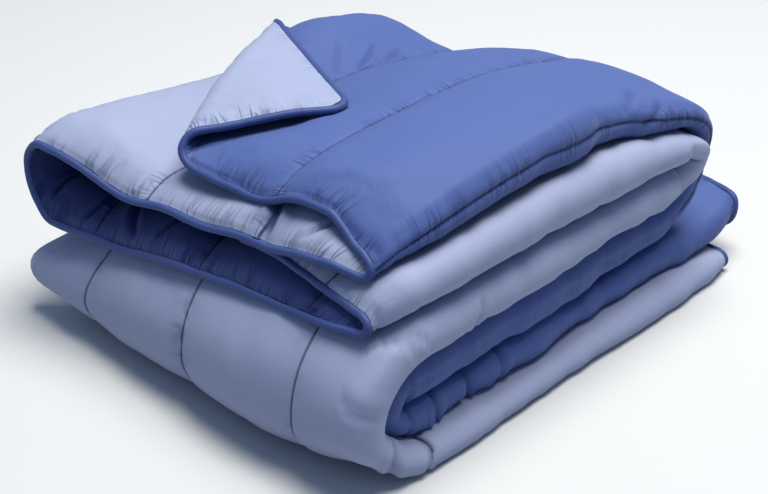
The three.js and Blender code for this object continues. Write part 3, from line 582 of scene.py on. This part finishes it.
# Creases laid by the folding. Each runs from one place of the sheet to another, on the blue
# side (1) or the light side (-1), with its bow, its half width and its depth in metres.
CREASE_COLUMNS = ("side", "u", "w", "to_u", "to_w", "bend", "half", "depth")
CREASES = [dict(zip(CREASE_COLUMNS, row)) for row in (
    (1, 0.15, 0.81, 0.195, 0.66, 0.004, 0.003, 0.006),
    (1, 0.13, 0.72, 0.190, 0.60, -0.003, 0.003, 0.004),
    (1, 0.17, 0.88, 0.197, 0.75, 0.003, 0.004, 0.004),
    (1, 0.57, 0.97, 0.605, 0.86, 0.005, 0.004, 0.005),
    (1, 0.54, 0.93, 0.585, 0.82, 0.004, 0.005, 0.004),
    (1, 0.56, 4.06, 0.640, 4.05, 0.004, 0.004, 0.006),
    (1, 0.56, 4.14, 0.640, 4.15, 0.006, 0.004, 0.006),
    (1, 0.57, 4.24, 0.630, 4.22, 0.004, 0.004, 0.005),
    (-1, 1.88, 3.13, 1.915, 2.98, 0.003, 0.003, 0.003),
    (-1, 1.87, 3.22, 1.920, 3.05, -0.003, 0.002, 0.003),
    (-1, 1.87, 3.33, 1.915, 3.35, 0.003, 0.002, 0.003),
    (-1, 1.93, 3.70, 1.890, 3.86, 0.004, 0.003, 0.005),
    (-1, 1.95, 4.03, 1.885, 4.00, 0.004, 0.003, 0.006),
    (-1, 1.90, 2.80, 1.940, 2.83, 0.003, 0.003, 0.004),
    (-1, 0.79, 0.00, 0.815, 0.09, 0.005, 0.006, 0.008),
    (-1, 0.73, 0.02, 0.700, 0.11, 0.004, 0.004, 0.005),
    (1, 1.22, 0.02, 1.250, 0.13, 0.004, 0.004, 0.006),
    (1, 1.29, 0.03, 1.340, 0.15, 0.006, 0.005, 0.007),
    (1, 1.37, 0.02, 1.390, 0.13, -0.005, 0.004, 0.006),
    (1, 1.47, 0.02, 1.430, 0.13, 0.006, 0.005, 0.007),
    (1, 1.51, 0.03, 1.560, 0.12, 0.005, 0.004, 0.006),
)]


# The cloth's slight rise on both sides of a crease: its place in half widths, and its share
LIP_OFFSET = 2.2
LIP_SHARE = 0.45


def crease_depth(u, w, side):
    """How deep the folding has creased the cloth at a place."""
    v = flat_length(w)
    depth = 0 * u
    for crease in CREASES:
        start = np.array([crease["u"], flat_length(crease["w"])])
        chord = np.array([crease["to_u"], flat_length(crease["to_w"])]) - start
        length = np.linalg.norm(chord)
        along = ((u - start[0]) * chord[0] + (v - start[1]) * chord[1]) / length ** 2
        off = ((v - start[1]) * chord[0] - (u - start[0]) * chord[1]) / length
        off = off - crease["bend"] * 4 * along * (1 - along)
        taper = np.sqrt(np.clip(4 * along * (1 - along), 0, 1))
        lips = hump(LIP_OFFSET * crease["half"], crease["half"], np.abs(off))
        valley = hump(0, crease["half"], off) - LIP_SHARE * lips
        depth = depth + crease["depth"] * valley * taper * (side == crease["side"])
    return depth


def stations(steps):
    """Places from 0 up to each named one, at that stretch's own step."""
    places = [0.0]
    for until, step in steps:
        start = places[-1]
        count = max(1, round((until - start) / step))
        places += [start + (until - start) * k / count for k in range(1, count + 1)]
    return np.array(places)


# Rows of the mesh lie closer where the cloth is seen, and every seam has a row of its own
RIM_STRIP = 0.012
RIM_STEP = 0.002
CLOSE = 0.0036
MIDDLING = 0.0055
WIDE = 0.0075
ACROSS = stations([
    (RIM_STRIP, RIM_STEP), (CHANNEL, CLOSE), (2 * CHANNEL, CLOSE), (BLUE_SEAM, CLOSE),
    (SUNK["u"], CLOSE), (4 * CHANNEL, MIDDLING), (5 * CHANNEL, WIDE), (6 * CHANNEL, WIDE),
    (7 * CHANNEL, CLOSE), (8 * CHANNEL, MIDDLING), (9 * CHANNEL, WIDE), (10 * CHANNEL, CLOSE),
    (WIDTH - RIM_STRIP, WIDE), (WIDTH, RIM_STEP),
])
ALONG = stations([
    (0.08, 0.006), (1, 0.0105), (2, 0.045), (2.7, 0.022), (3, 0.015), (4, 0.026), (4.3, 0.012),
    (4.96, 0.020), (LAST, 0.005),
])


def sheet_grid():
    """A blue face and a light face on a plain box, bridged round the rim."""
    mesh = bmesh.new()
    for side in (1, -1):
        made = bmesh.ops.create_grid(
            mesh, x_segments=len(ACROSS) - 1, y_segments=len(ALONG) - 1, size=0.5)
        bmesh.ops.translate(mesh, verts=made["verts"], vec=(0, 0, 0.1 * side))
    rim = [edge for edge in mesh.edges if edge.is_boundary]
    bmesh.ops.bridge_loops(mesh, edges=rim)
    bmesh.ops.recalc_face_normals(mesh, faces=mesh.faces)
    return mesh


def drawn_in(u, w, inset):
    """A place of the sheet drawn in from its outline by the piping's own room."""
    inner_u = np.clip(u, inset, WIDTH - inset)
    share = inset / end_leg(u, w)
    end_w = np.where(w < HALFWAY, 0.0, LAST)
    near_w = np.where(w < HALFWAY, share, LAST - share)
    share = share * inset / np.linalg.norm(sheet_place(u, near_w) - sheet_place(u, end_w), axis=-1)
    return rounded_place(inner_u, np.clip(w, share, LAST - share))


CLOTH_HALF = 0.0008


def quilt_surface(u, w, side):
    """One face of the quilt, in the row's frame."""
    u, w = drawn_in(u, w, RIM_INSET)
    reach = half_thickness(u, w, side) + puckers(u, w, side) + unevenness(u, w, side)
    reach = np.maximum(reach - crease_depth(u, w, side), CLOTH_HALF)
    place = sheet_place(u, w) + blue_normal(u, w) * (side * reach)[..., None]
    place[..., 2] = np.maximum(place[..., 2], REST_PLANE)
    return place - STACK_CENTRE


def mesh_piece(name, mesh, materials):
    """Turns a finished bmesh into a smooth object with its materials."""
    data = bpy.data.meshes.new(name)
    mesh.to_mesh(data)
    mesh.free()
    data.polygons.foreach_set("use_smooth", [True] * len(data.polygons))
    for material in materials:
        data.materials.append(material)
    piece = bpy.data.objects.new(name, data)
    bpy.context.scene.collection.objects.link(piece)
    return piece


def lay_flat(data, across, along):
    """Keeps each vertex's place on the flat cloth, in metres, as the mesh's UV map."""
    corner_vertex = np.zeros(len(data.loops), dtype=int)
    data.loops.foreach_get("vertex_index", corner_vertex)
    places = np.stack([across[corner_vertex], along[corner_vertex]], -1)
    data.uv_layers.new(name="flat_cloth").data.foreach_set("uv", places.ravel())


def maths(tree, operation, first, second):
    """One step of arithmetic in a shader; each side is a socket or a number."""
    node = tree.nodes.new("ShaderNodeMath")
    node.operation = operation
    for i, value in enumerate((first, second)):
        if isinstance(value, (int, float)):
            node.inputs[i].default_value = value
        else:
            tree.links.new(value, node.inputs[i])
    return node.outputs[0]


def vector_maths(tree, operation, first, second):
    """One step of arithmetic on colours or places; each side is a socket or a constant."""
    node = tree.nodes.new("ShaderNodeVectorMath")
    node.operation = operation
    sockets = (node.inputs[0], node.inputs["Scale"] if operation == "SCALE" else node.inputs[1])
    for socket, value in zip(sockets, (first, second)):
        if isinstance(value, tuple):
            socket.default_value = value
        else:
            tree.links.new(value, socket)
    return node.outputs["Vector"]


def cloth_noise(tree, flat, stretch, detail, distortion):
    """Noise over the flat cloth, at so many features to the metre each way."""
    noise = tree.nodes.new("ShaderNodeTexNoise")
    noise.inputs["Scale"].default_value = 1
    noise.inputs["Detail"].default_value = detail
    noise.inputs["Distortion"].default_value = distortion
    tree.links.new(vector_maths(tree, "MULTIPLY", flat, (*stretch, 1)), noise.inputs["Vector"])
    return noise.outputs["Fac"]


PINCH_WIDTH = 0.13
PINCH_FADE = 1.5


def pinches(tree, noise, near):
    """Creases where the noise crosses its middle, strongest near the stitching."""
    away = maths(tree, "ABSOLUTE", maths(tree, "SUBTRACT", noise, 0.5), 0)
    share = maths(tree, "DIVIDE", away, PINCH_WIDTH)
    depth = maths(tree, "MAXIMUM", maths(tree, "SUBTRACT", 1, share), 0)
    return maths(tree, "MULTIPLY", depth, maths(tree, "POWER", near, PINCH_FADE))


def named_value(tree, name):
    """A value that the cloth's mesh keeps at each of its vertices."""
    node = tree.nodes.new("ShaderNodeAttribute")
    node.attribute_name = name
    return node.outputs["Fac"]


# The cloth's relief: features to the metre across and along the sheet, and their strength; then how much
# the painted shade in the pinches and folds and the stitch line darken its colour
ACROSS_SEAM = (16, 85)
ACROSS_END = (85, 16)
PINCH_DISTORTION = 0.9
SEAM_PINCHES = 0.75
END_PINCHES = 1.1
PATCHES = {"size": (24, 24), "contrast": 3.6, "offset": 1.3, "least": 0.10}
STITCH_SHARPNESS = 12
RUMPLES = {"size": (45, 60), "detail": 3, "distortion": 0.7, "strength": 0.35}
THREADS = {"size": (700, 700), "detail": 1, "strength": 0.07}
PINCH_SHADE = 0.5
STITCH_SHADE = 0.85
FOLD_SHADE = 0.68
DARKEST = 0.9
SHADE_TINT = (1, 0.93, 0.74)


def stitched_cloth_group():
    """Close weave, small rumples, the stitch line and the pinches drawn up beside it, with shade painted
    into the colour in the pinches and deep in the folds.
    """
    group = bpy.data.node_groups.new("stitched_cloth", "ShaderNodeTree")
    group.interface.new_socket("Cloth", in_out="INPUT", socket_type="NodeSocketColor")
    group.interface.new_socket("Color", in_out="OUTPUT", socket_type="NodeSocketColor")
    group.interface.new_socket("Height", in_out="OUTPUT", socket_type="NodeSocketFloat")
    begin = group.nodes.new("NodeGroupInput")
    end = group.nodes.new("NodeGroupOutput")
    uv = group.nodes.new("ShaderNodeUVMap")
    uv.uv_map = "flat_cloth"
    flat = uv.outputs["UV"]
    seam = named_value(group, "near_seam")
    rim = named_value(group, "near_end")
    square_to_seam = pinches(group, cloth_noise(group, flat, ACROSS_SEAM, 0, PINCH_DISTORTION), seam)
    square_to_end = pinches(group, cloth_noise(group, flat, ACROSS_END, 0, PINCH_DISTORTION), rim)
    patchy = cloth_noise(group, flat, PATCHES["size"], 0, 0)
    patchy = maths(group, "MULTIPLY", patchy, PATCHES["contrast"])
    patchy = maths(group, "SUBTRACT", patchy, PATCHES["offset"])
    patchy = maths(group, "MINIMUM", maths(group, "MAXIMUM", patchy, PATCHES["least"]), 1)
    square_to_seam = maths(group, "MULTIPLY", square_to_seam, SEAM_PINCHES)
    square_to_end = maths(group, "MULTIPLY", square_to_end, END_PINCHES)
    pinched = maths(group, "MULTIPLY", maths(group, "ADD", square_to_seam, square_to_end), patchy)
    line = maths(group, "MULTIPLY", seam, STITCH_SHARPNESS)
    line = maths(group, "MAXIMUM", maths(group, "SUBTRACT", line, STITCH_SHARPNESS - 1), 0)
    rumples = cloth_noise(group, flat, RUMPLES["size"], RUMPLES["detail"], RUMPLES["distortion"])
    rumples = maths(group, "MULTIPLY", rumples, RUMPLES["strength"])
    threads = cloth_noise(group, flat, THREADS["size"], THREADS["detail"], 0)
    threads = maths(group, "MULTIPLY", threads, THREADS["strength"])
    raised = maths(group, "ADD", rumples, threads)
    height = maths(group, "SUBTRACT", raised, maths(group, "ADD", pinched, line))
    group.links.new(height, end.inputs["Height"])
    # Painted shade: the colour is darkened in the pinches' valleys and deep in the folds, as the shade that
    # falls there, losing less blue than red
    dark = maths(group, "MULTIPLY", pinched, PINCH_SHADE)
    dark = maths(group, "ADD", dark, maths(group, "MULTIPLY", line, STITCH_SHADE))
    painted_fold_darkening = maths(group, "MULTIPLY", named_value(group, "painted_fold_shade"), FOLD_SHADE)
    dark = maths(group, "MINIMUM", maths(group, "ADD", dark, painted_fold_darkening), DARKEST)
    lost = vector_maths(group, "SCALE", SHADE_TINT, dark)
    kept = vector_maths(group, "SUBTRACT", (1, 1, 1), lost)
    shaded = vector_maths(group, "MULTIPLY", begin.outputs["Cloth"], kept)
    group.links.new(shaded, end.inputs["Color"])
    return group


STITCHED_CLOTH = stitched_cloth_group()
SHEEN_ROUGHNESS = 0.4
CLOTH_SPECULAR = 0.25
RELIEF_STRENGTH = 0.8
RELIEF_HEIGHT = 0.0028


def microfibre(name, colour, roughness, sheen):
    """Brushed microfibre: a tight plain weave with a soft sheen."""
    material = bpy.data.materials.new(name)
    material.use_nodes = True
    tree = material.node_tree
    shader = tree.nodes["Principled BSDF"]
    shader.inputs["Roughness"].default_value = roughness
    shader.inputs["Sheen Weight"].default_value = sheen
    shader.inputs["Sheen Roughness"].default_value = SHEEN_ROUGHNESS
    shader.inputs["Specular IOR Level"].default_value = CLOTH_SPECULAR
    cloth = tree.nodes.new("ShaderNodeGroup")
    cloth.node_tree = STITCHED_CLOTH
    cloth.inputs["Cloth"].default_value = (*colour, 1)
    bump = tree.nodes.new("ShaderNodeBump")
    bump.inputs["Strength"].default_value = RELIEF_STRENGTH
    bump.inputs["Distance"].default_value = RELIEF_HEIGHT
    tree.links.new(cloth.outputs["Color"], shader.inputs["Base Color"])
    tree.links.new(cloth.outputs["Height"], bump.inputs["Height"])
    tree.links.new(bump.outputs["Normal"], shader.inputs["Normal"])
    return material


blue_cloth = microfibre("blue_microfibre", (0.050, 0.084, 0.256), roughness=0.68, sheen=0.08)
light_cloth = microfibre("lavender_microfibre", (0.226, 0.263, 0.410), roughness=0.7, sheen=0.06)

# How far the pinches reach from a seam or an end, and the shade painted into the cloth's colour deep inside
# the folds
LIGHT_PATTERN_SHIFT = 3
SEAM_PINCH_REACH = 0.030
END_PINCH_REACH = 0.040
HIDDEN_STITCHES = {"reach": 0.060, "w": (1.8, 2.1), "less": 0.45}
POCKET_SHADE = {"level": 2.6, "least": 0.8, "deeper": 0.35, "deeper_in": (0, 0.060)}
UNDER_TOP_SHADE = {"level": 2.5, "near": 0.1, "until_w": 0.4, "dark": 0.8, "u": 0.80, "reach": 0.030}
UNDER_TOP_SHADE_W = (0, 0.04)
CREASE_SHADE = {"full_depth": 0.010, "most": 0.7}
quilt = mesh_piece("quilted_comforter", sheet_grid(), [blue_cloth, light_cloth])
corners = np.zeros(len(quilt.data.vertices) * 3)
quilt.data.vertices.foreach_get("co", corners)
corners = corners.reshape(-1, 3)
sheet_u = ACROSS[np.rint((corners[:, 0] + 0.5) * (len(ACROSS) - 1)).astype(int)]
sheet_w = ALONG[np.rint((corners[:, 1] + 0.5) * (len(ALONG) - 1)).astype(int)]
sheet_side = np.sign(corners[:, 2])
quilt.data.vertices.foreach_set("co", quilt_surface(sheet_u, sheet_w, sheet_side).ravel())
lay_flat(quilt.data, sheet_u, flat_length(sheet_w) + (sheet_side < 0) * LIGHT_PATTERN_SHIFT)
from_seam = np.abs(sheet_u - np.round(sheet_u / CHANNEL) * CHANNEL)
to_end = from_end(sheet_u, sheet_w)
near_seam = np.clip(1 - from_seam / SEAM_PINCH_REACH, 0, 1)
hidden = (sheet_side > 0) * hump(BLUE_SEAM, HIDDEN_STITCHES["reach"], sheet_u)
hidden = hidden * ease(*HIDDEN_STITCHES["w"], sheet_w)
near_seam = near_seam * (1 - HIDDEN_STITCHES["less"] * hidden)
near_end = np.clip(1 - to_end / END_PINCH_REACH, 0, 1)
sheet_level = strip_section(sheet_u)[1]
# Painted shade: the cloth's colour is darkened inside the pocket, on the light side under the top layer's
# edge and along the creases, as the shade that falls there
inside = (sheet_side > 0) & (sheet_level < POCKET_SHADE["level"]) & (sheet_w < 1)
deeper = POCKET_SHADE["deeper"] * ease(*POCKET_SHADE["deeper_in"], to_end)
painted_fold_shade = inside * (POCKET_SHADE["least"] + deeper)
under_top = np.abs(sheet_level - UNDER_TOP_SHADE["level"]) < UNDER_TOP_SHADE["near"]
under_top = (sheet_side < 0) & under_top & (sheet_w < UNDER_TOP_SHADE["until_w"])
under_top = UNDER_TOP_SHADE["dark"] * under_top
under_top = under_top * hump(UNDER_TOP_SHADE["u"], UNDER_TOP_SHADE["reach"], sheet_u)
painted_fold_shade = painted_fold_shade + under_top * ease(*UNDER_TOP_SHADE_W, sheet_w)
creased = crease_depth(sheet_u, sheet_w, sheet_side) / CREASE_SHADE["full_depth"]
painted_fold_shade = painted_fold_shade + np.clip(creased, 0, CREASE_SHADE["most"])
for name, values in (("near_seam", near_seam), ("near_end", near_end), ("painted_fold_shade", painted_fold_shade)):
    quilt.data.attributes.new(name, "FLOAT", "POINT").data.foreach_set("value", values)
light_faces = [all(sheet_side[k] < 0 for k in face.vertices) for face in quilt.data.polygons]
quilt.data.polygons.foreach_set("material_index", np.array(light_faces, dtype=int))
quilt.data.update()
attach(quilt, "root")
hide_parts("quilted_body")


# The piping: a bias strip of the blue cloth folded round a cotton cord and sewn all
# round the sheet's outline, where the two faces meet. The strip puckers as it turns.
PIPING_SIDES = 14
PIPING_STEP = 0.0034
PIPING_STEP_W = 0.0075
CLOSEST_STEP = 0.6 * PIPING_STEP
CORNER_STEPS = 9
CORNER_ROOM = 1.4 * CORNER_RADIUS
CORNER_ROOM_W = 0.01
PUCKER_LENGTH = 0.011
PUCKER_SLANT = 0.35
PUCKER_DEPTH = 0.07
PUCKER_SEED = 61
PIPING_MERGE = 0.00001


def outline_places():
    """The sheet's outline, once round, as u and w at close steps."""
    side_steps = CORNER_RADIUS * np.linspace(0, 1, CORNER_STEPS)
    across = np.arange(CORNER_ROOM, WIDTH - CORNER_ROOM, PIPING_STEP)
    across = np.concatenate([side_steps, across, WIDTH - side_steps[::-1]])
    ways = []
    for edge_u in (WIDTH, 0.0):
        start = side_steps[1:] / end_leg(np.array(edge_u), np.array(0.0))
        finish = side_steps[1:] / end_leg(np.array(edge_u), np.array(LAST))
        middle = np.arange(start[-1] + CORNER_ROOM_W, LAST - finish[-1] - CORNER_ROOM_W, PIPING_STEP_W)
        ways.append(np.concatenate([[0], start, middle, LAST - finish[::-1], [LAST]]))
    right, left = ways
    places_u = [across, np.full(len(right), WIDTH), across[::-1], np.zeros(len(left))]
    places_w = [np.zeros(len(across)), right, np.full(len(across), LAST), left[::-1]]
    return rounded_place(np.concatenate(places_u), np.concatenate(places_w))


path_u, path_w = outline_places()
path = sheet_place(path_u, path_w) - STACK_CENTRE
path_normal = blue_normal(path_u, path_w)
kept = [0]
for i in range(1, len(path)):
    if np.linalg.norm(path[i] - path[kept[-1]]) > CLOSEST_STEP:
        kept.append(i)
if np.linalg.norm(path[kept[-1]] - path[0]) < CLOSEST_STEP:
    kept.pop()
path, path_normal = path[kept], path_normal[kept]
tangent = np.roll(path, -1, axis=0) - np.roll(path, 1, axis=0)
tangent /= np.linalg.norm(tangent, axis=1, keepdims=True)
outward = np.cross(tangent, path_normal)
outward /= np.linalg.norm(outward, axis=1, keepdims=True)
upward = np.cross(outward, tangent)
travelled = np.cumsum(np.linalg.norm(path - np.roll(path, 1, axis=0), axis=1))

tube = bmesh.new()
bmesh.ops.create_grid(tube, x_segments=len(path), y_segments=PIPING_SIDES, size=0.5)
for vert in tube.verts:
    i = round((vert.co.x + 0.5) * len(path)) % len(path)
    turn = 2 * math.pi * ((vert.co.y + 0.5) % 1)
    around = np.array(0.5 + 0.5 * math.cos(turn))
    twist = np.array(travelled[i] / PUCKER_LENGTH + PUCKER_SLANT * math.sin(turn))
    radius = CORD_RADIUS * (1 + PUCKER_DEPTH * soft_noise(around, twist, PUCKER_SEED))
    vert.co = path[i] + radius * (math.cos(turn) * outward[i] + math.sin(turn) * upward[i])
bmesh.ops.remove_doubles(tube, verts=tube.verts, dist=PIPING_MERGE)
bmesh.ops.recalc_face_normals(tube, faces=tube.faces)
piping_cloth = microfibre("blue_piping", (0.029, 0.054, 0.186), roughness=0.55, sheen=0.10)
piping = mesh_piece("edge_cord", tube, [piping_cloth])
piping_places = np.zeros(len(piping.data.vertices) * 3)
piping.data.vertices.foreach_get("co", piping_places)
piping_places = piping_places.reshape(-1, 3)
lay_flat(piping.data, piping_places[:, 0] + piping_places[:, 2], piping_places[:, 1] - piping_places[:, 2])
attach(piping, "root")
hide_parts("edge_piping")


# The surroundings: a plain pale floor, matt so that it takes only a soft shadow, with pale
# blue light all round and one large soft box of warmer light above the stack.
FLOOR_HALF = 20
FLOOR_COLOUR = (0.475, 0.49, 0.52, 1)
FLOOR_ROUGHNESS = 0.9
AIR_COLOUR = (0.50, 0.69, 1, 1)
AIR_STRENGTH = 0.43
LAMP_COLOUR = (1, 0.95, 0.83)
floor_data = bpy.data.meshes.new("studio_floor")
floor_mesh = bmesh.new()
bmesh.ops.create_grid(floor_mesh, x_segments=1, y_segments=1, size=FLOOR_HALF)
floor_mesh.to_mesh(floor_data)
floor_mesh.free()
floor = bpy.data.objects.new("studio_floor", floor_data)
bpy.context.scene.collection.objects.link(floor)
floor_paint = bpy.data.materials.new("floor_paint")
floor_paint.use_nodes = True
floor_shader = floor_paint.node_tree.nodes["Principled BSDF"]
floor_shader.inputs["Base Color"].default_value = FLOOR_COLOUR
floor_shader.inputs["Roughness"].default_value = FLOOR_ROUGHNESS
floor_data.materials.append(floor_paint)

world = bpy.data.worlds.new("studio_air")
bpy.context.scene.world = world
world.use_nodes = True
air = world.node_tree.nodes["Background"]
air.inputs["Color"].default_value = AIR_COLOUR
air.inputs["Strength"].default_value = AIR_STRENGTH


def soft_box(name, place, size, power):
    """A square lamp that faces the stack's foot."""
    data = bpy.data.lights.new(name, "AREA")
    data.color = LAMP_COLOUR
    data.size = size
    data.energy = power
    lamp = bpy.data.objects.new(name, data)
    lamp.location = place
    lamp.rotation_euler = Vector(place).to_track_quat("Z", "Y").to_euler()
    bpy.context.scene.collection.objects.link(lamp)


soft_box("overhead_light", (0.4, 0.5, 4.0), size=2.4, power=325)
bpy.context.scene.view_settings.view_transform = "Standard"
